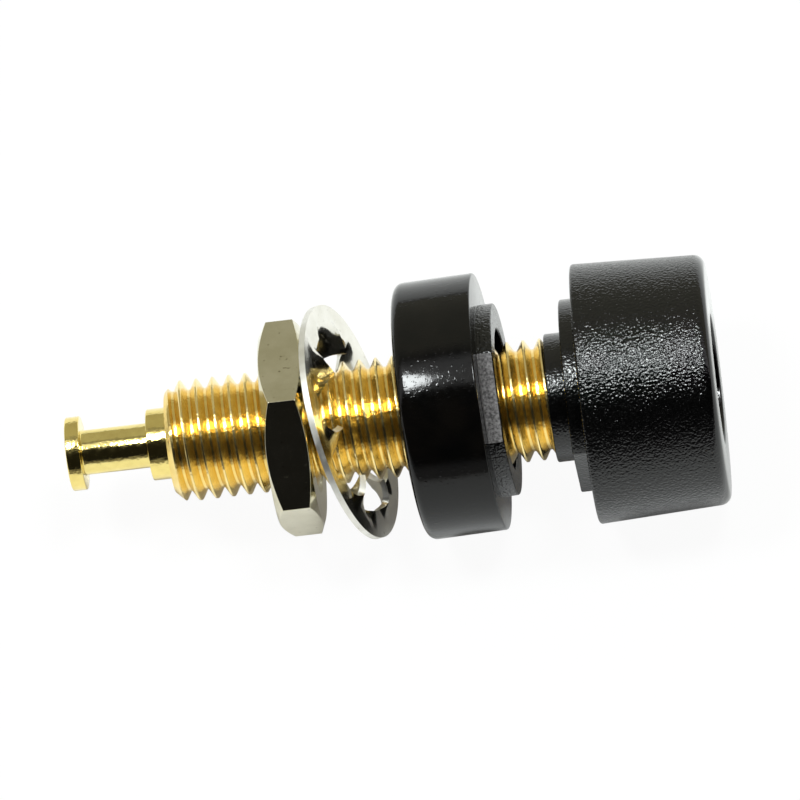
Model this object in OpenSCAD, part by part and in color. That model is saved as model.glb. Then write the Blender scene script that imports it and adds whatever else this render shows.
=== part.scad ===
// Banana socket for a panel: a gold-plated jack stud moulded into an insulating head, with the shouldered
// insulating washer, internal-tooth lock washer and hex nut that clamp it to the panel.
// The axis is X: the plug enters at +X and the solder turret is at -X. X = 0 is the face of the head that
// seats on the panel. Z is up. Sizes are in millimetres and angles in degrees.

/* [Panel hole] */
// Diameter of the D-shaped hole in the panel
hole_d = 12.7; // [11.6:0.1:14]
// How far the flat of the hole comes in from the full circle
hole_flat = 0.7; // [0.4:0.05:0.9]
// Gap left all round between the hole and what locates in it
hole_clearance = 0.15; // [0.05:0.05:0.3]

/* [Jack stud] */
// Outside diameter of the thread
thread_d = 7.8; // [7:0.05:8.6]
// Thread pitch, which is 24 threads to the inch
thread_pitch = 1.058; // [0.8:0.001:1.4]
// Length of thread behind the head
thread_length = 24.6; // [22:0.1:30]
// Bore for the plug
bore_d = 4.2; // [3.6:0.05:4.8]
// Depth of the full bore from the front end of the stud
bore_depth = 21; // [16:0.5:24]
// Countersink at the mouth of the bore
bore_lead = 0.6; // [0.2:0.05:1]
// Length of the groove under the head that the moulding grips
grip_length = 4.2; // [3:0.1:6]

/* [Solder turret] */
// Diameter of the shoulder between thread and turret
shoulder_d = 4.6; // [4:0.05:5.4]
// Length of the shoulder
shoulder_length = 1.35; // [0.6:0.05:2.5]
// Diameter of the neck that the wire wraps round
neck_d = 2.88; // [2:0.02:3.6]
// Length of the neck
neck_length = 4.32; // [2.5:0.05:7]
// Diameter of the end flange
flange_d = 4.76; // [4:0.02:6]
// Thickness of the end flange
flange_length = 0.93; // [0.5:0.01:2]
// Small bevel on the turned edges
edge_break = 0.08; // [0.03:0.01:0.2]

/* [Head] */
// Diameter where the head meets the panel
head_d = 16.75; // [16.1:0.05:20]
// Diameter at the front, smaller by the draft of the mould
head_front_d = 16.05; // [13.5:0.05:16.7]
// Length in front of the panel
head_length = 8.56; // [7:0.02:12]
// Rounding of the front edge
head_round = 0.9; // [0.3:0.05:1.8]
// Rounding of the panel-side edge
head_back_round = 0.2; // [0.05:0.05:0.5]
// Length of the D-shaped collar that locates in the panel hole
collar_length = 0.98; // [0.5:0.02:1.6]
// Length of the sleeve behind the collar
sleeve_length = 1.22; // [0.6:0.02:2]
// How far the sleeve stands above the thread
sleeve_step = 0.23; // [0.15:0.01:0.5]
// Depth of the mouth in front of the stud
mouth_depth = 1.2; // [0.6:0.05:2]
// Bevel round the mouth
mouth_bevel = 0.15; // [0.05:0.05:0.4]

/* [Insulating washer] */
// Outside diameter
insulator_d = 16.6; // [15:0.05:20]
// Length of the full-diameter part
insulator_length = 5.13; // [3.5:0.01:8]
// Rounding of the edge on the nut side
insulator_round = 0.6; // [0.2:0.05:1.5]
// Length of the D-shaped boss that locates in the panel hole
boss_length = 1.03; // [0.5:0.01:2]
// Gap all round between the bore and the head's sleeve
insulator_play = 0.42; // [0.15:0.01:0.6]

/* [Lock washer] */
// Outside diameter
washer_d = 15.45; // [14.5:0.05:18]
// Sheet thickness
washer_thickness = 0.4; // [0.3:0.02:0.8]
// Width of the ring outside the teeth
washer_rim = 1.75; // [1.2:0.05:2.2]
// Number of teeth
tooth_count = 7; // [6:1:10]
// Width of a tooth
tooth_width = 2.3; // [1.2:0.05:2.4]
// Twist of a tooth from its root to its tip
tooth_twist = 42; // [0:1:48]
// Gap all round between the thread and the tips
tooth_play = 0.4; // [0.3:0.02:0.6]

/* [Hex nut] */
// Size across the flats
nut_across = 12.5; // [11.5:0.05:14]
// Thickness
nut_thickness = 2.75; // [2:0.01:4]
// Slope of the chamfer that rounds off the corners on the turret side
nut_chamfer = 30; // [15:1:35]
// Slope of the chamfer on the lock washer's side
nut_front_chamfer = 22; // [15:1:35]
// How far the round end faces stay inside the flats
nut_face_inset = 0.08; // [0.03:0.01:0.2]
// Countersink at both ends of the bore
nut_lead = 0.35; // [0.15:0.05:0.6]
// Running gap all round between the nut and the thread
nut_play = 0.05; // [0.02:0.01:0.12]

/* [Loose parts on the thread] */
// Room between the panel face and the front of the insulating washer
panel_room = 5.03; // [3:0.01:7]
// Gap between the insulating washer and the lock washer
washer_gap = 1.82; // [0.2:0.02:2.5]
// Gap between the lock washer and the nut
nut_gap = 0.05; // [0.02:0.01:0.6]
// Share of its play that the lock washer takes up as it leans
lean_share = 0.92; // [0:0.02:0.94]
// Share of its play that the insulating washer takes up as it leans
insulator_lean_share = 0.3; // [0:0.02:0.36]
// Share of its play by which the insulating washer hangs off the axis
hang_share = 0.52; // [0:0.02:0.6]
// Direction in which the insulating washer hangs, turned about X from straight up
hang_turn = -64; // [-180:1:180]
// Direction in which the washers lean, turned about X from straight up
lean_turn = -8; // [-180:1:180]
// Direction that the flat of the head's collar faces, turned about X from straight up
head_turn = 90; // [-180:1:180]
// Direction that the flat of the insulating washer faces
insulator_turn = 24; // [-180:1:180]
// Direction of one tooth of the lock washer
washer_turn = -10; // [-180:1:180]
// Direction of one corner of the nut
nut_turn = 11.5; // [-180:0.5:180]

/* [Hidden] */
$fn = 96;
over = 0.5;
thread_depth_share = 0.6134;
drill_slope = 31;
gold = [0.86, 0.66, 0.24];
black_grain = [0.05, 0.05, 0.05];
black_gloss = [0.03, 0.03, 0.03];
nickel = [0.74, 0.72, 0.66];

collar_r = hole_d / 2 - hole_clearance;
flat_at = collar_r - hole_flat;

thread_r = thread_d / 2;
thread_depth = thread_depth_share * thread_pitch;
root_r = thread_r - thread_depth;
bore_r = bore_d / 2;
thread_front = -collar_length - sleeve_length;
thread_back = thread_front - thread_length;
shoulder_back = thread_back - shoulder_length;
neck_back = shoulder_back - neck_length;
turret_end = neck_back - flange_length;
stud_front = head_length - mouth_depth;
grip_front = thread_front + grip_length;
bore_back = stud_front - bore_depth;
bore_tip = bore_back - bore_r * tan(drill_slope);

sleeve_r = thread_r + sleeve_step;
mouth_r = sleeve_r;
draft = atan((head_d - head_front_d) / (2 * head_length));

insulator_full = insulator_length + boss_length;
insulator_bore_r = sleeve_r + insulator_play;
insulator_lean = asin(insulator_lean_share * insulator_play / (insulator_full / 2));
insulator_hang = hang_share * insulator_play;
insulator_centre = [
    -panel_room - insulator_full / 2,
    -insulator_hang * sin(hang_turn),
    insulator_hang * cos(hang_turn),
];

washer_r = washer_d / 2;
rim_r = washer_r - washer_rim;
tip_r = thread_r + tooth_play;
tooth_root_r = rim_r + washer_rim / 6;
tip_twist = tooth_twist * (tooth_root_r - tip_r) / (tooth_root_r - tip_r + over);
tooth_reach = tooth_width / 2 * sin(tip_twist) + washer_thickness / 2 * cos(tip_twist);
washer_lean = acos((tip_r - lean_share * tooth_play) / norm([tip_r, tooth_reach])) - atan(tooth_reach / tip_r);
washer_reach = washer_r * sin(washer_lean) + washer_thickness / 2 * cos(washer_lean);
washer_mid = -panel_room - insulator_full - washer_gap - washer_reach;

nut_corner_r = nut_across / 2 / cos(30);
nut_face_r = nut_across / 2 - nut_face_inset;
nut_blank_r = nut_corner_r + nut_face_inset;
nut_bevel = (nut_blank_r - nut_face_r) * tan(nut_chamfer);
nut_front_bevel = (nut_blank_r - nut_face_r) * tan(nut_front_chamfer);
nut_bore_r = thread_r + nut_play;
nut_back = washer_mid - washer_reach - nut_gap - nut_thickness;

// Points of an arc in a section, from one angle to another
function arc(x, r, radius, from, to, steps = 10) =
    [for (i = [0:steps])
        let (a = from + (to - from) * i / steps)
        [x + radius * cos(a), r + radius * sin(a)]];

// Radius of the head's drafted flank at x
function flank(x) = head_d / 2 - x * tan(draft);

// Solid turned about X from a section of [x, radius] points
module turned(section)
    rotate([0, 90, 0])
        rotate_extrude()
            polygon([for (p = section) [p[1], p[0]]]);

// What lies beyond a flat that faces straight up, between two places along X
module beyond_flat(x0, x1)
    translate([x0, -hole_d, flat_at])
        cube([x1 - x0, 2 * hole_d, hole_d]);

// Tips what is centred at the origin, with its front face leaning up
module leaning(angle)
    rotate([lean_turn, 0, 0])
        rotate([0, -angle, 0])
            rotate([-lean_turn, 0, 0])
                children();

// Turret, thread, groove for the moulding and front end, turned from one bar and bored for the plug
module jack_stud()
    color(gold)
        turned([
            [turret_end, 0],
            [turret_end, flange_d / 2 - edge_break],
            [turret_end + edge_break, flange_d / 2],
            [neck_back - edge_break, flange_d / 2],
            [neck_back, flange_d / 2 - edge_break],
            [neck_back, neck_d / 2],
            [shoulder_back, neck_d / 2],
            [shoulder_back, shoulder_d / 2 - edge_break],
            [shoulder_back + edge_break, shoulder_d / 2],
            [thread_back, shoulder_d / 2],
            [thread_back, root_r],
            [thread_back + thread_depth, thread_r],
            [thread_front, thread_r],
            [thread_front, root_r],
            [grip_front, root_r],
            [grip_front, thread_r],
            [stud_front - edge_break, thread_r],
            [stud_front, thread_r - edge_break],
            [stud_front, bore_r + bore_lead],
            [stud_front - bore_lead, bore_r],
            [bore_back, bore_r],
            [bore_tip, 0],
        ]);

// Moulded on to the stud, with a sleeve and a D-shaped collar on the panel side
module head()
    color(black_grain)
        difference() {
            turned(concat(
                [[thread_front, root_r],
                 [thread_front, sleeve_r],
                 [-collar_length, sleeve_r],
                 [-collar_length, collar_r],
                 [0, collar_r]],
                arc(head_back_round, flank(head_back_round) - head_back_round / cos(draft),
                    head_back_round, 180, 90 - draft, 5),
                arc(head_length - head_round, flank(head_length - head_round) - head_round / cos(draft),
                    head_round, 90 - draft, 0),
                [[head_length, mouth_r + mouth_bevel],
                 [head_length - mouth_bevel, mouth_r],
                 [stud_front - edge_break, mouth_r],
                 [stud_front - edge_break, thread_r],
                 [grip_front, thread_r],
                 [grip_front, root_r]]
            ));
            rotate([head_turn, 0, 0])
                beyond_flat(-collar_length - over, 0);
        }

// Takes the nut's load, and its boss keeps the stud clear of the panel
module insulating_washer()
    color(black_gloss)
        translate(insulator_centre)
            leaning(insulator_lean)
                rotate([insulator_turn, 0, 0])
                    difference() {
                        translate([-insulator_full / 2, 0, 0])
                            turned(concat(
                                [[0, insulator_bore_r + edge_break],
                                 [edge_break, insulator_bore_r],
                                 [insulator_full, insulator_bore_r],
                                 [insulator_full, collar_r - edge_break],
                                 [insulator_full - edge_break, collar_r],
                                 [insulator_length, collar_r],
                                 [insulator_length, insulator_d / 2 - edge_break],
                                 [insulator_length - edge_break, insulator_d / 2]],
                                arc(insulator_round, insulator_d / 2 - insulator_round,
                                    insulator_round, 90, 180)
                            ));
                        beyond_flat(insulator_full / 2 - boss_length, insulator_full);
                    }

// One tooth pointing straight up towards the rim, flat at its root and twisted at its tip
module tooth()
    translate([0, 0, tooth_root_r])
        mirror([0, 0, 1])
            linear_extrude(height = tooth_root_r - tip_r + over,
                           twist = -tooth_twist, slices = 5, segments = 4)
                square([washer_thickness, tooth_width], center = true);

// Stamped spring steel, with the teeth twisted out of the sheet
module lock_washer()
    color(nickel)
        translate([washer_mid, 0, 0])
            leaning(washer_lean)
                rotate([washer_turn, 0, 0])
                    difference() {
                        union() {
                            turned([
                                [-washer_thickness / 2, rim_r],
                                [-washer_thickness / 2, washer_r],
                                [washer_thickness / 2, washer_r],
                                [washer_thickness / 2, rim_r],
                            ]);
                            for (i = [0:tooth_count - 1])
                                rotate([360 * i / tooth_count, 0, 0])
                                    tooth();
                        }
                        turned([
                            [-washer_rim, 0],
                            [-washer_rim, tip_r],
                            [washer_rim, tip_r],
                            [washer_rim, 0],
                        ]);
                    }

// Hexagon with both ends chamfered, and a plain bore where the thread is
module hex_nut()
    color(nickel)
        translate([nut_back, 0, 0])
            rotate([nut_turn, 0, 0])
                difference() {
                    intersection() {
                        rotate([0, 90, 0])
                            cylinder(r = nut_corner_r, h = nut_thickness, $fn = 6);
                        turned([
                            [0, 0],
                            [0, nut_face_r],
                            [nut_bevel, nut_blank_r],
                            [nut_thickness - nut_front_bevel, nut_blank_r],
                            [nut_thickness, nut_face_r],
                            [nut_thickness, 0],
                        ]);
                    }
                    turned([
                        [-over, 0],
                        [-over, nut_bore_r + nut_lead + over],
                        [nut_lead, nut_bore_r],
                        [nut_thickness - nut_lead, nut_bore_r],
                        [nut_thickness + over, nut_bore_r + nut_lead + over],
                        [nut_thickness + over, 0],
                    ]);
                }

jack_stud();
head();
insulating_washer();
lock_washer();
hex_nut();
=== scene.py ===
"""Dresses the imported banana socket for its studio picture.

Each piece is drawn in millimetres about its own X axis, with the plug entering from +X, and one matrix
sets it in place in metres. Angles about X are in degrees from straight up, right-handed.
"""

import math

import bmesh
import bpy
from mathutils import Matrix, Vector


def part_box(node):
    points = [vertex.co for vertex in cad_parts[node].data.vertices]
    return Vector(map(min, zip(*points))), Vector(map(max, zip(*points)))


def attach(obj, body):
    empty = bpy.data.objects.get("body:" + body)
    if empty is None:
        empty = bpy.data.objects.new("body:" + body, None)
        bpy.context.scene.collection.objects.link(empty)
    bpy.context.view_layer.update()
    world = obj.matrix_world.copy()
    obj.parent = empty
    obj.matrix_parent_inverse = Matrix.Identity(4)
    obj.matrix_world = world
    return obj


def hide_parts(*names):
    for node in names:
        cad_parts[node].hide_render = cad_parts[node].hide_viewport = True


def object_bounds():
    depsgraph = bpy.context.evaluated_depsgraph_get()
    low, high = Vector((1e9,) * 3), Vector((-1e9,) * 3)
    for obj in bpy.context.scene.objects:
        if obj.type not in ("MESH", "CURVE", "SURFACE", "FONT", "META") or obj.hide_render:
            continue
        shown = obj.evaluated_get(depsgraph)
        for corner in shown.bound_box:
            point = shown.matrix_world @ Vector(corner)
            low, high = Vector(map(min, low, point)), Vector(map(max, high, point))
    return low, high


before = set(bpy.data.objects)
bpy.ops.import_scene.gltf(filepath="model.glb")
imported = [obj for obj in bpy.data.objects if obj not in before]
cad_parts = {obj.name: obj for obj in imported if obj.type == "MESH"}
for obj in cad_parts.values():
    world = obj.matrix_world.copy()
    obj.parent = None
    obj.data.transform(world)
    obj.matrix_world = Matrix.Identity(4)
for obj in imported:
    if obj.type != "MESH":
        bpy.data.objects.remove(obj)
cad_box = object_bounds()

MM = 0.001


def span_x(node):
    """Where a CAD node starts and ends along the axis, in millimetres."""
    low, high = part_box(node)
    return low[0] / MM, high[0] / MM


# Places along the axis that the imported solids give
TURRET_END, STUD_FRONT = span_x("jack_stud")
THREAD_FRONT, HEAD_FRONT = span_x("head")
NUT_BACK, NUT_FRONT = span_x("hex_nut")
WASHER_MID = sum(span_x("lock_washer")) / 2

# Thread on the stud
THREAD_R = 3.9
THREAD_PITCH = 1.058
THREAD_LENGTH = 24.6
THREAD_DEPTH_SHARE = 0.6134
THREAD_DEPTH = THREAD_DEPTH_SHARE * THREAD_PITCH
THREAD_BACK = THREAD_FRONT - THREAD_LENGTH
THREAD_LAP = 0.15  # how far it runs on inside the moulding
ROOT_R = THREAD_R - THREAD_DEPTH
CREST_AT = -25.61  # where one crest passes straight up

# Half of the thread's form from crest to root: place along the pitch, and height as a share of depth
THREAD_FORM = [
    (0, 1),
    (0.05, 0.995),
    (0.075, 0.955),
    (0.11, 0.866),
    (0.25, 0.47),
    (0.37, 0.131),
    (0.42, 0.03),
    (0.5, 0),
]

# Turret and bored front end of the stud
FLANGE_R = 2.38
FLANGE_LENGTH = 0.93
NECK_R = 1.44
TURRET_EDGE = 0.1
SHOULDER_R = 2.3
SHOULDER_LENGTH = 1.35
SHOULDER_EDGE = 0.08
SHOULDER_FOOT = 0.04
GRIP_LENGTH = 4.2
GRIP_FRONT = THREAD_FRONT + GRIP_LENGTH
STUD_EDGE = 0.08
BORE_R = 2.1
BORE_DEPTH = 21
BORE_LEAD = 0.6
BORE_EDGE = 0.05
DRILL_SLOPE = 31

# D-shape that the head's collar and the insulating washer's boss share
COLLAR_R = 6.2
COLLAR_EDGE = 0.12
COLLAR_FOOT = 0.05
FLAT_AT = 5.5
FLAT_CLEAR = 0.5  # how far outside the sleeve or the bore it starts
HALF_FLAT = math.degrees(math.acos(FLAT_AT / COLLAR_R))

# Head
HEAD_R = 8.375
HEAD_FRONT_R = 8.025
HEAD_ROUND = 0.7
HEAD_BACK_ROUND = 0.2
HEAD_TURN = 90  # the way the flat of its collar faces
COLLAR_LENGTH = 0.98
SLEEVE_R = 4.13
SLEEVE_EDGE = 0.1
SLEEVE_FOOT = 0.06
MOUTH_R = 4.13
MOUTH_EDGE = 0.15
MOUTH_SINK = 0.08  # how far its floor lies behind the stud's face

# Insulating washer
INSULATOR_R = 8.3
INSULATOR_LENGTH = 5.13
INSULATOR_ROUND = 0.6
INSULATOR_BORE_R = 4.55
INSULATOR_EDGE = 0.12
BOSS_LENGTH = 1.03
GLOSS_LAP = 0.03  # how far the gloss runs on to the boss
FLAT_SLACK = 0.01  # how far below the flat a face still counts as cut
GLOSS_FACE = 0  # numbers of its three materials
GRAIN_FACE = 1
# the flat's material, a grey copy of the black moulding that paints the sheen of the light it catches
PAINTED_SHEEN_FACE = 2
INSULATOR_FULL = INSULATOR_LENGTH + BOSS_LENGTH
INSULATOR_FRONT = -5.03
INSULATOR_MID = INSULATOR_FRONT - INSULATOR_FULL / 2
INSULATOR_LEAN = 2.345
INSULATOR_TURN = 24
INSULATOR_HANG = 0.2184
HANG_TURN = -64

# Lock washer
WASHER_R = 7.725
WASHER_THICKNESS = 0.4
WASHER_ROWS = [7.3, 6.9, 6.5, 6.2]  # radii between its outside and its rim
WASHER_EDGE = 0.06
WASHER_EDGE_ANGLE = 50
WASHER_SHARP = 60
WASHER_LEAN = 15.424
WASHER_TURN = -10
RIM_R = 5.975
TIP_R = 4.4
TOOTH_COUNT = 7
TOOTH_PITCH = 360 / TOOTH_COUNT
TOOTH_WIDTH = 2.3
TOOTH_HALF = TOOTH_WIDTH / 2
TOOTH_TWIST = -38
TOOTH_FILLET = 0.4
TOOTH_FOOT_R = RIM_R - TOOTH_FILLET
TWIST_FROM = 6.5
TWIST_FADE = 0.7

# Columns and rows of the lock washer's mesh
TOOTH_COLUMNS = 10
TOOTH_ROWS = 8
GAP_COLUMNS = 10
TOOTH_LANES = [TOOTH_HALF * (2 * i / TOOTH_COLUMNS - 1) for i in range(TOOTH_COLUMNS + 1)]
FILLET_SHARES = [0.12, 0.3, 0.55, 1]
EDGE_TURN = math.degrees(math.asin(TOOTH_HALF / RIM_R))
FILLET_TURN = math.degrees(TOOTH_FILLET / RIM_R)

# Hex nut
NUT_FLAT_R = 6.25
NUT_FACE_R = 6.17
NUT_SIDE_TURN = 60
NUT_CHAMFER = 30
NUT_FRONT_CHAMFER = 22
NUT_BORE_R = 3.95
NUT_LEAD = 0.35
NUT_EDGE = 0.05
NUT_SHARP = 20
NUT_TURN = 11.5

# Direction in which the loose washers lean
LEAN_TURN = -8

# Steps round a full turn, and degrees in a step of an arc
TURN_STEPS = 192
THREAD_STEPS = 96
NUT_STEPS = 96
ARC_STEP = 15

# Angle over which an edge stays sharp, and faces across a bevel
SHARP_ANGLE = 35
BEVEL_SEGMENTS = 2

# Distances within which vertices join and slivers go
WELD_WITHIN = 0.001
SLIVER_WITHIN = 0.0005


def turned_to(angle):
    """Direction at an angle about X, as a unit vector across the axis."""
    return Vector((0, -math.sin(math.radians(angle)), math.cos(math.radians(angle))))


def even_angles(steps, *extra):
    """Angles round a full turn, with extra ones where an edge has to fall."""
    return sorted({360 * i / steps for i in range(steps)} | {a % 360 for a in extra})


def rounded(corners):
    """Section points from corners (x, r, radius), each corner with a radius turned into an arc."""
    points = []
    for i, (x, r, radius) in enumerate(corners):
        here = Vector((x, r))
        if radius == 0:
            points.append((x, r))
            continue
        before = (Vector(corners[i - 1][:2]) - here).normalized()
        after = (Vector(corners[(i + 1) % len(corners)][:2]) - here).normalized()
        half = before.angle(after) / 2
        middle = here + (before + after).normalized() * radius / math.sin(half)
        start = here + before * radius / math.tan(half) - middle
        turn = before.angle_signed(after)
        sweep = math.copysign(math.pi - 2 * half, -turn)
        count = max(2, math.ceil(math.degrees(abs(sweep)) / ARC_STEP))
        for k in range(count + 1):
            a = -sweep * k / count
            points.append(tuple(middle + Matrix.Rotation(a, 2) @ start))
    return points


def on_flat(angle, r, flat_angle):
    """Radius of a point of a D-shape, drawn in to the flat that faces flat_angle."""
    off = math.radians(angle - flat_angle)
    if math.cos(off) <= 0:
        return r
    return min(r, (FLAT_AT - (COLLAR_R - r)) / math.cos(off))


def ring(bm, angles, place):
    """One ring of vertices, where place(angle) gives x and r."""
    verts = []
    for angle in angles:
        x, r = place(angle)
        verts.append(bm.verts.new(Vector((x, 0, 0)) + turned_to(angle) * r))
    return verts


def skin(bm, rings):
    """Quads between each ring and the next."""
    for low, high in zip(rings, rings[1:]):
        for i in range(len(low)):
            j = (i + 1) % len(low)
            bm.faces.new((low[i], low[j], high[j], high[i]))


def lathe(bm, section, angles, shape=None, closed=False):
    """Skin turned about X through section points.

    Where it isn't round, shape(angle, x, r) gives the radius to use.
    """
    shape = shape or (lambda angle, x, r: r)
    rings = [ring(bm, angles, lambda a, x=x, r=r: (x, shape(a, x, r))) for x, r in section]
    skin(bm, rings + rings[:1] if closed else rings)


def weld(bm):
    """Joins vertices that fall together, and points the faces outwards."""
    bmesh.ops.remove_doubles(bm, verts=bm.verts, dist=WELD_WITHIN)
    bmesh.ops.dissolve_degenerate(bm, edges=bm.edges, dist=SLIVER_WITHIN)
    bmesh.ops.recalc_face_normals(bm, faces=bm.faces)


def add_object(name, data):
    """A new object, linked to the scene."""
    thing = bpy.data.objects.new(name, data)
    bpy.context.scene.collection.objects.link(thing)
    return thing


def finish_piece(bm, name, node, body, materials, place, sharp=SHARP_ANGLE, pick=None):
    """Turns a mesh in millimetres into a piece that stands for a CAD node and rides on its body.

    Where it has more than one material, pick(face centre) gives the number of the one to use.
    """
    weld(bm)
    if pick:
        for face in bm.faces:
            face.material_index = pick(face.calc_center_median())
    bmesh.ops.transform(bm, matrix=place @ Matrix.Scale(MM, 4), verts=bm.verts)
    mesh = bpy.data.meshes.new(name)
    bm.to_mesh(mesh)
    bm.free()
    mesh.shade_smooth()
    mesh.set_sharp_from_angle(angle=math.radians(sharp))
    for material in materials:
        mesh.materials.append(material)
    piece = add_object(name, mesh)
    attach(piece, body)
    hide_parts(node)
    return piece


def bevel(piece, name, width, angle):
    """Rounds those edges of a piece that are sharper than an angle."""
    edge = piece.modifiers.new(name, "BEVEL")
    edge.width = width * MM
    edge.segments = BEVEL_SEGMENTS
    edge.limit_method = "ANGLE"
    edge.angle_limit = math.radians(angle)
    edge.harden_normals = True


def at(x, turn=0, lean=0, hang=0):
    """Matrix that sets a piece at x, turned about X.

    A loose washer also leans by an angle, and hangs off the axis by a distance.
    """
    spin = Matrix.Rotation(math.radians(turn), 4, "X")
    to_lean = Matrix.Rotation(math.radians(LEAN_TURN), 4, "X")
    tip = to_lean @ Matrix.Rotation(math.radians(-lean), 4, "Y") @ to_lean.inverted()
    centre = Vector((x, 0, 0)) + turned_to(HANG_TURN) * hang
    return Matrix.Translation(centre * MM) @ tip @ spin


# Materials

NOISE_SPAN = (0.3, 0.7)  # where most of a noise's values lie

# Colour sockets of a Mix node
MIX_FACTOR = 0
MIX_FIRST = 6
MIX_SECOND = 7
MIX_COLOUR = 2

# Factors on the coordinates that draw turning marks out round the axis
MARK_STRETCH = (1, 0.04, 0.04)

# Grain of the moulded plastic: its size, and its strength where it isn't full
GRAIN_SIZE = 0.17
GRAIN_DEPTH = 0.066
GRAIN_FADE = 0.5
GRAIN_AT_FRONT = 0.04
GRAIN_BEHIND_PANEL = 0.6
PANEL_FADE = 0.05
FRONT_DULLNESS = 0.3


def grey(level):
    """Colour with the same red, green and blue."""
    return (level, level, level)


def feed(tree, socket, value):
    """Sets an input to a plain value, or links it to an output."""
    if isinstance(value, bpy.types.NodeSocket):
        tree.links.new(value, socket)
    else:
        socket.default_value = value


def new_material(name):
    """A Principled material, with its node tree and its shader's inputs."""
    material = bpy.data.materials.new(name)
    material.use_nodes = True
    tree = material.node_tree
    return material, tree, tree.nodes["Principled BSDF"].inputs


def add_node(tree, kind, settings=None, **inputs):
    """Adds a node, sets its settings, and feeds its inputs by name, or by number as _0 and so on."""
    node = tree.nodes.new(kind)
    for key, value in (settings or {}).items():
        setattr(node, key, value)
    for key, value in inputs.items():
        number = key[1:]
        feed(tree, node.inputs[int(number) if number.isdigit() else key.replace("_", " ")], value)
    return node


def maths(tree, operation, *values):
    """Result of one step of arithmetic on numbers and outputs."""
    numbered = {f"_{i}": value for i, value in enumerate(values)}
    return add_node(tree, "ShaderNodeMath", {"operation": operation}, **numbered).outputs[0]


def ramp(tree, value, stops):
    """Colour ramp over stops of (position, colour)."""
    node = add_node(tree, "ShaderNodeValToRGB", Fac=value)
    while len(node.color_ramp.elements) < len(stops):
        node.color_ramp.elements.new(0.5)
    for element, (position, colour) in zip(node.color_ramp.elements, stops):
        element.position = position
        element.color = (*colour, 1)
    return node.outputs["Color"]


def spread(tree, value, source, target):
    """Maps a value from one range to another, clamped."""
    low, high = source
    to_low, to_high = target
    node = add_node(
        tree, "ShaderNodeMapRange", Value=value,
        From_Min=low, From_Max=high, To_Min=to_low, To_Max=to_high,
    )
    return node.outputs["Result"]


def noise(tree, vector, size, detail=3.0, roughness=0.5):
    """Noise whose features are about size millimetres across, from coordinates in metres."""
    node = add_node(
        tree, "ShaderNodeTexNoise", Vector=vector,
        Scale=1 / (size * MM), Detail=detail, Roughness=roughness,
    )
    return node.outputs["Fac"]


def object_coordinates(tree):
    """Coordinates of the piece itself, in metres."""
    return add_node(tree, "ShaderNodeTexCoord").outputs["Object"]


def scaled(tree, vector, factors):
    """A vector with each of its parts multiplied by a factor of its own."""
    node = add_node(tree, "ShaderNodeVectorMath", {"operation": "MULTIPLY"}, _0=vector, _1=factors)
    return node.outputs["Vector"]


def lathe_marks(tree, vector, size):
    """Noise drawn out round the axis, as a turning tool leaves it."""
    return noise(tree, scaled(tree, vector, MARK_STRETCH), size, detail=2.0)


def distance_from_axis(tree, vector):
    """Distance of a point from the X axis, in metres."""
    across = scaled(tree, vector, (0, 1, 1))
    node = add_node(tree, "ShaderNodeVectorMath", {"operation": "LENGTH"}, _0=across)
    return node.outputs["Value"]


def bump(tree, height, depth, strength=1.0, normal=None):
    """Bump of a height from 0 to 1 that stands depth millimetres deep, on top of another if given."""
    node = add_node(tree, "ShaderNodeBump", Height=height, Strength=strength, Distance=depth * MM)
    if normal is not None:
        feed(tree, node.inputs["Normal"], normal)
    return node.outputs["Normal"]


def tinted(tree, tone, tint):
    """One colour multiplied by another."""
    node = add_node(tree, "ShaderNodeMix", {"data_type": "RGBA", "blend_type": "MULTIPLY"})
    feed(tree, node.inputs[MIX_FACTOR], 1.0)
    feed(tree, node.inputs[MIX_FIRST], tone)
    feed(tree, node.inputs[MIX_SECOND], tint)
    return node.outputs[MIX_COLOUR]


def gold_plate():
    """Bright gold over turned and lightly dented brass, with painted shade (a deeper orange) down in the
    thread's roots and a painted highlight (a paler gold) on its crests.
    """
    material, tree, surface = new_material("gold_plate")
    where = object_coordinates(tree)
    radius = spread(tree, distance_from_axis(tree, where), (NECK_R * MM, THREAD_R * MM), (0, 1))
    # Colour by distance from the axis: the turret's own gold, then painted shade at the thread's roots
    # (0.74) and a painted highlight on its crests (1.0)
    tone = ramp(tree, radius, [
        (0.0, (0.88, 0.73, 0.27)),
        (0.40, (0.89, 0.72, 0.25)),
        (0.74, (0.92, 0.68, 0.22)),
        (1.0, (0.97, 0.78, 0.36)),
    ])
    cloud = ramp(tree, noise(tree, where, size=0.9), [(0.35, (0.90, 0.88, 0.84)), (0.65, grey(1))])
    cut = spread(tree, radius, (0.40, 0.60), (0.10, 0.19))
    patches = spread(tree, noise(tree, where, size=0.35), NOISE_SPAN, (-0.03, 0.05))
    dents = bump(tree, noise(tree, where, size=0.24, detail=2.0), depth=0.02)
    marks = bump(tree, lathe_marks(tree, where, size=0.12), depth=0.003, normal=dents)
    feed(tree, surface["Metallic"], 1)
    feed(tree, surface["Base Color"], tinted(tree, tone, cloud))
    feed(tree, surface["Roughness"], maths(tree, "ADD", cut, patches))
    feed(tree, surface["Normal"], marks)
    return material


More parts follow.
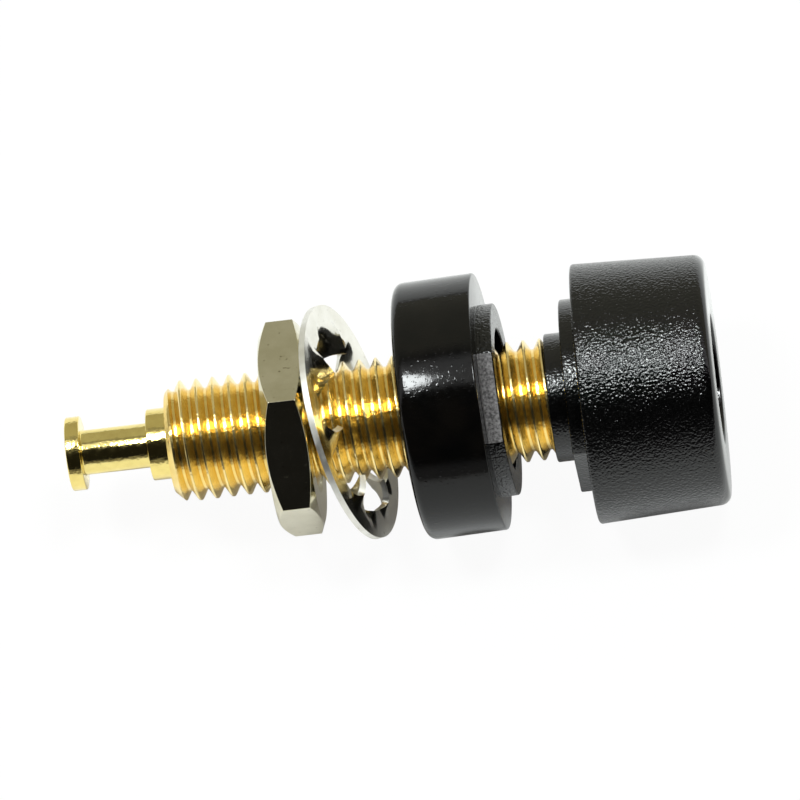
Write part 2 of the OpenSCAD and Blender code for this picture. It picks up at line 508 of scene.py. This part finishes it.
def grained_plastic(name, smooth_from=None):
    """Black moulding with a coarse spark-eroded grain.

    With smooth_from, a place along the axis in millimetres, the grain fades out in front of that place,
    and is weaker behind the face that meets the panel.
    """
    material, tree, surface = new_material(name)
    where = object_coordinates(tree)
    grain = noise(tree, where, size=GRAIN_SIZE, detail=1.0)
    tone = ramp(tree, grain, [(0.35, grey(0.0006)), (0.70, grey(0.002))])
    rough = spread(tree, noise(tree, where, size=0.15), NOISE_SPAN, (0.11, 0.20))
    strength = 1.0
    if smooth_from is not None:
        along = add_node(tree, "ShaderNodeSeparateXYZ", Vector=where).outputs["X"]
        smooth_at = (smooth_from + GRAIN_FADE) * MM
        front = spread(tree, along, (smooth_from * MM, smooth_at), (1, GRAIN_AT_FRONT))
        back = spread(tree, along, (-PANEL_FADE * MM, PANEL_FADE * MM), (GRAIN_BEHIND_PANEL, 1))
        strength = maths(tree, "MULTIPLY", front, back)
        dullness = spread(tree, front, (0, 1), (FRONT_DULLNESS, 1))
        rough = maths(tree, "MULTIPLY", rough, dullness)
    feed(tree, surface["Specular IOR Level"], 0.48)
    feed(tree, surface["Base Color"], tone)
    feed(tree, surface["Roughness"], rough)
    feed(tree, surface["Normal"], bump(tree, grain, depth=GRAIN_DEPTH, strength=strength))
    return material


def washer_plastic():
    """Glossy black moulding with a faint ripple and a few raised flecks."""
    material, tree, surface = new_material("washer_plastic")
    where = object_coordinates(tree)
    cloud = noise(tree, where, size=1.6)
    tone = ramp(tree, cloud, [(0.3, grey(0.001)), (0.7, (0.003, 0.0025, 0.002))])
    rough = spread(tree, noise(tree, where, size=0.5), NOISE_SPAN, (0.07, 0.13))
    ripple = bump(tree, noise(tree, where, size=0.8), depth=0.006)
    flecks = spread(tree, noise(tree, where, size=0.22, detail=1.0), (0.60, 0.85), (0, 1))
    feed(tree, surface["Specular IOR Level"], 0.3)
    feed(tree, surface["Base Color"], tone)
    feed(tree, surface["Roughness"], rough)
    feed(tree, surface["Normal"], bump(tree, flecks, depth=0.007, normal=ripple))
    return material


def painted_sheen_plastic():
    """Face of a black moulding that is cut flat and dull, painted a speckled grey as a painted sheen of
    the light that the flat catches.
    """
    material, tree, surface = new_material("painted_sheen_plastic")
    where = object_coordinates(tree)
    chalk = noise(tree, where, size=0.16, detail=2.0, roughness=0.6)
    # Painted sheen: a grey far lighter than the black moulding stands for the light the flat catches, and
    # the speckles follow the grain
    tone = ramp(tree, chalk, [
        (0.36, (0.04, 0.036, 0.036)),
        (0.50, (0.13, 0.122, 0.122)),
        (0.66, (0.23, 0.22, 0.22)),
    ])
    feed(tree, surface["Base Color"], tone)
    feed(tree, surface["Roughness"], spread(tree, chalk, NOISE_SPAN, (0.45, 0.7)))
    feed(tree, surface["Normal"], bump(tree, chalk, depth=0.03))
    return material


def nickel(name, light, dark, roughness):
    """Plated steel with a cloudy tone, a range of roughness, and a few pits and specks."""
    material, tree, surface = new_material(name)
    where = object_coordinates(tree)
    tone = ramp(tree, noise(tree, where, size=1.6), [(0.35, dark), (0.65, light)])
    pits = noise(tree, where, size=0.3, detail=1.0)
    stain = ramp(tree, pits, [(0.22, (0.5, 0.47, 0.40)), (0.28, grey(1))])
    gloss = spread(tree, noise(tree, where, size=0.7), NOISE_SPAN, roughness)
    speck = spread(tree, pits, (0.74, 0.78), (0, 0.15))
    feed(tree, surface["Metallic"], 1)
    feed(tree, surface["Base Color"], tinted(tree, tone, stain))
    feed(tree, surface["Roughness"], maths(tree, "ADD", gloss, speck))
    feed(tree, surface["Normal"], bump(tree, noise(tree, where, size=0.5), depth=0.0015))
    return material


# Pieces


def thread_skin(bm, back, front):
    """Helical skin of the thread, whose rows follow the helix.

    It rises from the root at 45 degrees at the back, and stops down at the root at the front.
    """
    form = THREAD_FORM + [(1 - u, h) for u, h in reversed(THREAD_FORM[1:-1])]
    # A row climbs one pitch in a turn, so the rows start and end well outside the thread
    first = math.floor((back - CREST_AT) / THREAD_PITCH) - 2
    last = math.ceil((front - CREST_AT) / THREAD_PITCH) + 1
    rows = []
    for turn in range(first, last + 1):
        for u, height in form:
            row = []
            for j in range(THREAD_STEPS):
                x = CREST_AT + THREAD_PITCH * (turn + u + j / THREAD_STEPS)
                r = ROOT_R + THREAD_DEPTH * height
                r = max(ROOT_R, min(r, ROOT_R + x - back))
                if x >= front:
                    r = ROOT_R
                x = min(max(x, back), front)
                row.append(bm.verts.new(Vector((x, 0, 0)) + turned_to(360 * j / THREAD_STEPS) * r))
            rows.append(row)
    pitch_rows = len(form)
    for i in range(len(rows) - pitch_rows - 1):
        for j in range(THREAD_STEPS):
            k = (j + 1) % THREAD_STEPS
            step = pitch_rows if k == 0 else 0
            bm.faces.new((rows[i][j], rows[i + step][k], rows[i + step + 1][k], rows[i + 1][j]))


def make_stud(material):
    """Turret, threaded stud and bored front end as one turned bar."""
    bm = bmesh.new()
    neck_back = TURRET_END + FLANGE_LENGTH
    shoulder_back = THREAD_BACK - SHOULDER_LENGTH
    bore_back = STUD_FRONT - BORE_DEPTH
    thread_end = THREAD_FRONT + THREAD_LAP
    angles = even_angles(THREAD_STEPS)
    lathe(bm, rounded([
        (TURRET_END, 0, 0),
        (TURRET_END, FLANGE_R, TURRET_EDGE),
        (neck_back, FLANGE_R, TURRET_EDGE),
        (neck_back, NECK_R, TURRET_EDGE),
        (shoulder_back, NECK_R, TURRET_EDGE),
        (shoulder_back, SHOULDER_R, SHOULDER_EDGE),
        (THREAD_BACK, SHOULDER_R, SHOULDER_FOOT),
        (THREAD_BACK, ROOT_R, 0),
    ]), angles)
    thread_skin(bm, THREAD_BACK, thread_end)
    lathe(bm, rounded([
        (thread_end, ROOT_R, 0),
        (GRIP_FRONT, ROOT_R, 0),
        (GRIP_FRONT, THREAD_R, 0),
        (STUD_FRONT, THREAD_R, STUD_EDGE),
        (STUD_FRONT, BORE_R + BORE_LEAD, BORE_EDGE),
        (STUD_FRONT - BORE_LEAD, BORE_R, BORE_EDGE),
        (bore_back, BORE_R, 0),
        (bore_back - BORE_R * math.tan(math.radians(DRILL_SLOPE)), 0, 0),
    ]), angles)
    return finish_piece(bm, "turned_stud", "jack_stud", "jack", [material], at(0))


def make_head(material):
    """Grained moulding with its D-shaped collar, sleeve and plug mouth."""
    bm = bmesh.new()
    angles = even_angles(TURN_STEPS, HEAD_TURN - HALF_FLAT, HEAD_TURN + HALF_FLAT)
    mouth_floor = STUD_FRONT - MOUTH_SINK
    section = rounded([
        (THREAD_FRONT, ROOT_R, 0),
        (THREAD_FRONT, SLEEVE_R, SLEEVE_EDGE),
        (-COLLAR_LENGTH, SLEEVE_R, SLEEVE_FOOT),
        (-COLLAR_LENGTH, COLLAR_R, COLLAR_EDGE),
        (0, COLLAR_R, COLLAR_FOOT),
        (0, HEAD_R, HEAD_BACK_ROUND),
        (HEAD_FRONT, HEAD_FRONT_R, HEAD_ROUND),
        (HEAD_FRONT, MOUTH_R, MOUTH_EDGE),
        (mouth_floor, MOUTH_R, 0),
        (mouth_floor, THREAD_R, 0),
    ])

    def shape(angle, x, r):
        if x <= 0 and r > SLEEVE_R + FLAT_CLEAR:
            return on_flat(angle, r, HEAD_TURN)
        return r

    lathe(bm, section, angles, shape)
    return finish_piece(bm, "moulded_head", "head", "jack", [material], at(0))


def make_insulator(gloss, grain, cut):
    """Glossy washer with a grained D-shaped boss on the panel side, whose flat is cut and carries a
    painted grey sheen.
    """
    bm = bmesh.new()
    half = INSULATOR_FULL / 2
    boss_at = half - BOSS_LENGTH
    angles = even_angles(TURN_STEPS, -HALF_FLAT, HALF_FLAT)
    section = rounded([
        (half, INSULATOR_BORE_R, INSULATOR_EDGE),
        (half, COLLAR_R, COLLAR_EDGE),
        (boss_at, COLLAR_R, COLLAR_FOOT),
        (boss_at, INSULATOR_R, INSULATOR_EDGE),
        (-half, INSULATOR_R, INSULATOR_ROUND),
        (-half, INSULATOR_BORE_R, INSULATOR_EDGE),
    ])

    def shape(angle, x, r):
        if x >= boss_at and INSULATOR_BORE_R + FLAT_CLEAR < r <= COLLAR_R:
            return on_flat(angle, r, 0)
        return r

    def pick(centre):
        if centre.x < boss_at + GLOSS_LAP:
            return GLOSS_FACE
        return PAINTED_SHEEN_FACE if centre.z > FLAT_AT - FLAT_SLACK else GRAIN_FACE

    lathe(bm, section, angles, shape, closed=True)
    return finish_piece(
        bm, "shouldered_washer", "insulating_washer", "insulator",
        [gloss, grain, cut], at(INSULATOR_MID, INSULATOR_TURN, INSULATOR_LEAN, INSULATOR_HANG), pick=pick,
    )


def stamped(angle, r):
    """Where a point of the flat stamping lies once the teeth are twisted out of the sheet.

    A tooth twists fastest at its root, and the sheet beside the root is drawn along a little.
    """
    middle = round(angle / TOOTH_PITCH) * TOOTH_PITCH
    off = math.radians(angle - middle)
    side = r * math.sin(off)
    depth = r * math.cos(off)
    share = min(max((TWIST_FROM - depth) / (TWIST_FROM - TIP_R), 0), 1)
    twist = math.radians(TOOTH_TWIST) * (1 - (1 - share) ** 2)
    arm = min(max(side, -TOOTH_HALF), TOOTH_HALF)
    fade = max(0, 1 - abs(side - arm) / TWIST_FADE)
    along = arm * math.sin(twist) * fade
    across = side - arm * (1 - math.cos(twist)) * fade
    return Vector((along, 0, 0)) + turned_to(middle) * depth + turned_to(middle + 90) * across


def washer_columns():
    """Angles of the lock washer's columns, round each tooth and the gap beyond it."""
    side_turn = EDGE_TURN + FILLET_TURN
    gap_turn = TOOTH_PITCH - 2 * side_turn
    columns = []
    for n in range(TOOTH_COUNT):
        middle = n * TOOTH_PITCH
        columns += [middle + math.degrees(math.asin(side / RIM_R)) for side in TOOTH_LANES]
        columns += [middle + EDGE_TURN + FILLET_TURN * f for f in FILLET_SHARES]
        columns += [middle + side_turn + gap_turn * i / GAP_COLUMNS for i in range(1, GAP_COLUMNS)]
        columns += [middle + TOOTH_PITCH - EDGE_TURN - FILLET_TURN * f for f in reversed(FILLET_SHARES)]
    return columns


def add_tooth(bm, n, columns, rim):
    """Tooth number n, from the rim to its tip, with a fillet on either side of its root."""
    lanes = len(TOOTH_LANES)
    base = n * (len(columns) // TOOTH_COUNT)
    rows = [rim[base:base + lanes]]
    for i in range(TOOTH_ROWS + 1):
        r = TOOTH_FOOT_R + (TIP_R - TOOTH_FOOT_R) * i / TOOTH_ROWS
        angles = [n * TOOTH_PITCH + math.degrees(math.asin(side / r)) for side in TOOTH_LANES]
        rows.append([bm.verts.new(stamped(a, r)) for a in angles])
    for low, high in zip(rows, rows[1:]):
        for i in range(lanes - 1):
            bm.faces.new((low[i], low[i + 1], high[i + 1], high[i]))
    for side, order in ((lanes - 1, 1), (0, -1)):
        outer = rim[base + side]
        inner = rows[1][side]
        for k, share in enumerate(FILLET_SHARES, 1):
            column = (base + side + order * k) % len(rim)
            next_outer = rim[column]
            if share == 1:
                bm.faces.new((outer, inner, next_outer))
                break
            drop = TOOTH_FILLET * (1 - math.sqrt(1 - (1 - share) ** 2))
            next_inner = bm.verts.new(stamped(columns[column], RIM_R - drop))
            bm.faces.new((outer, inner, next_inner, next_outer))
            outer = next_outer
            inner = next_inner


def make_lock_washer(plated, sheared):
    """Stamped ring whose inner teeth twist out of the sheet, with duller sheared edges."""
    bm = bmesh.new()
    columns = washer_columns()
    radii = [WASHER_R, *WASHER_ROWS, RIM_R]
    grid = [[bm.verts.new(stamped(a, r)) for a in columns] for r in radii]
    skin(bm, grid)
    for n in range(TOOTH_COUNT):
        add_tooth(bm, n, columns, grid[-1])
    piece = finish_piece(
        bm, "toothed_washer", "lock_washer", "washer", [plated, sheared],
        at(WASHER_MID, WASHER_TURN, WASHER_LEAN), sharp=WASHER_SHARP,
    )
    sheet = piece.modifiers.new("sheet", "SOLIDIFY")
    sheet.thickness = WASHER_THICKNESS * MM
    sheet.offset = 0
    sheet.use_even_offset = True
    sheet.material_offset_rim = 1
    bevel(piece, "stamped_edge", WASHER_EDGE, WASHER_EDGE_ANGLE)
    return piece


def make_nut(material):
    """Hexagon with both ends chamfered to a round face, and a countersunk bore."""
    bm = bmesh.new()
    angles = even_angles(NUT_STEPS)
    length = NUT_FRONT - NUT_BACK
    lead_r = NUT_BORE_R + NUT_LEAD

    def hexagon(angle):
        return NUT_FLAT_R / math.cos(math.radians(angle % NUT_SIDE_TURN - NUT_SIDE_TURN / 2))

    def drop(angle, chamfer):
        return (hexagon(angle) - NUT_FACE_R) * math.tan(math.radians(chamfer))

    places = [
        lambda a: (NUT_LEAD, NUT_BORE_R),
        lambda a: (0, lead_r),
        lambda a: (0, NUT_FACE_R),
        lambda a: (drop(a, NUT_CHAMFER), hexagon(a)),
        lambda a: (length / 2, hexagon(a)),
        lambda a: (length - drop(a, NUT_FRONT_CHAMFER), hexagon(a)),
        lambda a: (length, NUT_FACE_R),
        lambda a: (length, lead_r),
        lambda a: (length - NUT_LEAD, NUT_BORE_R),
    ]
    rings = [ring(bm, angles, place) for place in places]
    skin(bm, rings + rings[:1])
    piece = finish_piece(
        bm, "chamfered_nut", "hex_nut", "nut", [material], at(NUT_BACK, NUT_TURN),
        sharp=NUT_SHARP,
    )
    bevel(piece, "worn_edge", NUT_EDGE, NUT_SHARP)
    return piece


make_stud(gold_plate())
make_head(grained_plastic("head_plastic", HEAD_FRONT - HEAD_ROUND))
# The boss's flat gets a painted sheen, a grey copy of the black moulding
make_insulator(washer_plastic(), grained_plastic("boss_plastic"), painted_sheen_plastic())
make_lock_washer(
    nickel("washer_nickel", (0.82, 0.80, 0.73), (0.72, 0.70, 0.62), roughness=(0.10, 0.18)),
    nickel("sheared_nickel", (0.86, 0.85, 0.80), (0.70, 0.68, 0.62), roughness=(0.36, 0.50)),
)
make_nut(nickel("nut_nickel", (0.68, 0.64, 0.48), (0.60, 0.56, 0.40), roughness=(0.07, 0.13)))

# Camera

CAMERA_TURN = 64
CAMERA_TO_FRONT = 4.1
CAMERA_ROLL = 6.66
CAMERA_DISTANCE = 524.7
CAMERA_LENS = 368.3
CAMERA_NEAREST = 10
LOOK_AT_X = -11.84
LOOK_ABOVE = 1.01


def set_camera():
    """Camera above the near side, a little towards the plug, with the axis climbing to the right."""
    axis = Vector((1, 0, 0))
    turn = math.radians(CAMERA_TURN)
    to_front = math.radians(CAMERA_TO_FRONT)
    roll = math.radians(CAMERA_ROLL)
    across = Vector((0, -math.cos(turn), math.sin(turn)))
    to_camera = axis * math.sin(to_front) + across * math.cos(to_front)
    axis_seen = (axis - axis.dot(to_camera) * to_camera).normalized()
    above = to_camera.cross(axis_seen)
    image_right = axis_seen * math.cos(roll) - above * math.sin(roll)
    image_up = axis_seen * math.sin(roll) + above * math.cos(roll)
    facing = Matrix((image_right, image_up, to_camera)).transposed().to_4x4()
    target = Vector((LOOK_AT_X, 0, 0)) + above * LOOK_ABOVE
    data = bpy.data.cameras.new("camera")
    data.lens = CAMERA_LENS
    data.clip_start = CAMERA_NEAREST * MM
    camera = add_object("camera", data)
    camera.matrix_world = Matrix.Translation((target + to_camera * CAMERA_DISTANCE) * MM) @ facing
    bpy.context.scene.camera = camera


set_camera()

# Floor, in metres

FLOOR_HALF = 1.5
FLOOR_CORNERS = [(-1, -1), (1, -1), (1, 1), (-1, 1)]
FLOOR_GREY = 0.9
GLOW_SEEN = 0.95
GLOW_MIRRORED = 0.12


def pale_floor():
    """White that takes a shadow, and glows by one share to the camera and another in a reflection."""
    material = bpy.data.materials.new("pale_floor")
    material.use_nodes = True
    tree = material.node_tree
    tree.nodes.clear()
    path = add_node(tree, "ShaderNodeLightPath").outputs
    seen = maths(tree, "MAXIMUM", path["Is Camera Ray"], path["Is Transmission Ray"])
    direct = maths(tree, "MULTIPLY", seen, GLOW_SEEN)
    share = maths(tree, "MULTIPLY_ADD", path["Is Glossy Ray"], GLOW_MIRRORED, direct)
    diffuse = add_node(tree, "ShaderNodeBsdfDiffuse", Color=(*grey(FLOOR_GREY), 1)).outputs[0]
    glow = add_node(tree, "ShaderNodeEmission", Color=(*grey(1), 1), Strength=1.0).outputs[0]
    mix = add_node(tree, "ShaderNodeMixShader", Fac=share, _1=diffuse, _2=glow).outputs[0]
    add_node(tree, "ShaderNodeOutputMaterial", Surface=mix)
    return material


def lay_floor():
    """Level floor under the lowest point of the object."""
    floor_z = cad_box[0][2]
    mesh = bpy.data.meshes.new("floor")
    corners = [(x * FLOOR_HALF, y * FLOOR_HALF, floor_z) for x, y in FLOOR_CORNERS]
    mesh.from_pydata(corners, [], [(0, 1, 2, 3)])
    mesh.materials.append(pale_floor())
    floor = add_object("floor", mesh)


lay_floor()

# Light

HIGH_CARD = grey(1.0)
NEAR_CARD = grey(0.25)
DARK_ROOM = grey(0.012)
DIM_ROOM = (0.15, 0.15, 0.14)
WARM_WALL = (0.46, 0.45, 0.36)

# Angle from the camera's side, up and over to the back, and the colour there
BANDS = [
    (0, NEAR_CARD),
    (8, NEAR_CARD),
    (16, DARK_ROOM),
    (80, DARK_ROOM),
    (86, HIGH_CARD),
    (104, HIGH_CARD),
    (112, DIM_ROOM),
    (122, WARM_WALL),
    (180, WARM_WALL),
]

# Lamps, in metres
LAMP_TURN = 91
LAMP_DISTANCE = 0.5
LAMP_SIZE = 0.115
LAMP_WATTS = 1.25
LAMP_COLOUR = (0.95, 1.0, 1.0)
TURRET_LAMP_LEAN = 16
PLUG_LAMP_LEAN = -14


def studio_world():
    """Soft surroundings, in bands that run along the axis."""
    world = bpy.data.worlds.new("studio")
    bpy.context.scene.world = world
    world.use_nodes = True
    tree = world.node_tree
    tree.nodes.clear()
    way = add_node(tree, "ShaderNodeTexCoord").outputs["Generated"]
    parts = add_node(tree, "ShaderNodeSeparateXYZ", Vector=way).outputs
    near = maths(tree, "MULTIPLY", parts["Y"], -1.0)
    turn = maths(tree, "ARCTAN2", parts["Z"], near)
    share = spread(tree, turn, (0, math.pi), (0, 1))
    tone = ramp(tree, share, [(angle / 180, colour) for angle, colour in BANDS])
    light = add_node(tree, "ShaderNodeBackground", Color=tone, Strength=1.0).outputs[0]
    add_node(tree, "ShaderNodeOutputWorld", Surface=light)


def softbox(name, lean):
    """Round lamp nearly overhead, leaning towards the turret by an angle, that faces the object."""
    turn = math.radians(LAMP_TURN)
    tilt = math.radians(lean)
    way = Vector((-math.sin(tilt), -math.cos(turn) * math.cos(tilt), math.sin(turn) * math.cos(tilt)))
    data = bpy.data.lights.new(name, "AREA")
    data.shape = "DISK"
    data.size = LAMP_SIZE
    data.energy = LAMP_WATTS
    data.color = LAMP_COLOUR
    lamp = add_object(name, data)
    place = Vector((LOOK_AT_X * MM, 0, 0)) + way * LAMP_DISTANCE
    lamp.matrix_world = Matrix.Translation(place) @ way.to_track_quat("Z", "Y").to_matrix().to_4x4()


studio_world()
softbox("turret_side", TURRET_LAMP_LEAN)
softbox("plug_side", PLUG_LAMP_LEAN)

bpy.context.scene.view_settings.view_transform = "Standard"
